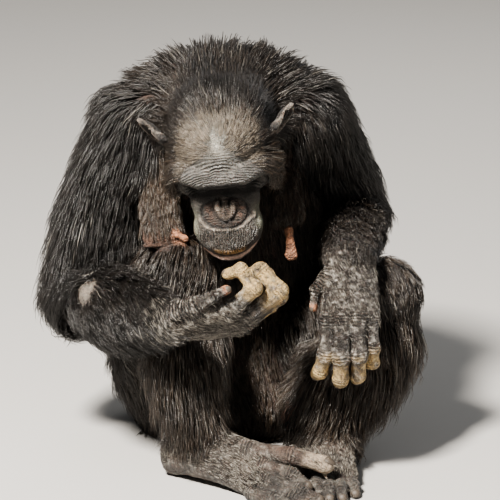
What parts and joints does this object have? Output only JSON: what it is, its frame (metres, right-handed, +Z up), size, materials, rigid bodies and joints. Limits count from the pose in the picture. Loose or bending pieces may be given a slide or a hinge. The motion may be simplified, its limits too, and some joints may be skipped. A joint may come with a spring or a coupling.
{
  "type": "chimpanzee",
  "caption": "Life-size still model of an adult chimpanzee sitting hunched over raised knees, one half-closed hand held before its mouth, the other hanging from its knee.",
  "frame": {"origin": "on the floor at the middle of the seat flat, under the pelvis", "axes": "+Z up, the animal faces -Y, its left side is towards +X"},
  "size_m": [0.535, 0.5058, 0.5542],
  "materials": {
    "coat": "long black-brown fur with a grey-brown sheen",
    "face_skin": "dark grey-brown wrinkled skin, a little oily on the brow",
    "ear_skin": "grey-brown bare skin",
    "eye": "wet dark brown eye",
    "breast_skin": "thin brown-pink skin with an orange-pink nipple",
    "hand_skin": "dusty grey-brown creased skin with ochre fingertips",
    "foot_skin": "dusty grey-brown creased skin"
  },
  "bodies": {
    "root": {"head": "face_skin", "ear_r": "ear_skin", "ear_l": "ear_skin", "eye_r": "eye", "eye_l": "eye", "neck": "coat", "torso": "coat", "breast_r": "breast_skin", "breast_l": "breast_skin", "upper_arm_r": "coat", "upper_arm_l": "coat", "forearm_r": "coat", "forearm_l": "coat", "hand_r": "hand_skin", "hand_l": "hand_skin", "thumb_r": "hand_skin", "thumb_l": "hand_skin", "finger_index_r": "hand_skin", "finger_index_l": "hand_skin", "finger_middle_r": "hand_skin", "finger_middle_l": "hand_skin", "finger_ring_r": "hand_skin", "finger_ring_l": "hand_skin", "finger_little_r": "hand_skin", "finger_little_l": "hand_skin", "thigh_r": "coat", "thigh_l": "coat", "shin_r": "coat", "shin_l": "coat", "foot_r": "foot_skin", "foot_l": "foot_skin", "toe_hallux_r": "foot_skin", "toe_hallux_l": "foot_skin", "toe_second_r": "foot_skin", "toe_second_l": "foot_skin", "toe_third_r": "foot_skin", "toe_third_l": "foot_skin", "toe_fourth_r": "foot_skin", "toe_fourth_l": "foot_skin", "toe_fifth_r": "foot_skin", "toe_fifth_l": "foot_skin"}
  },
  "joints": []
}
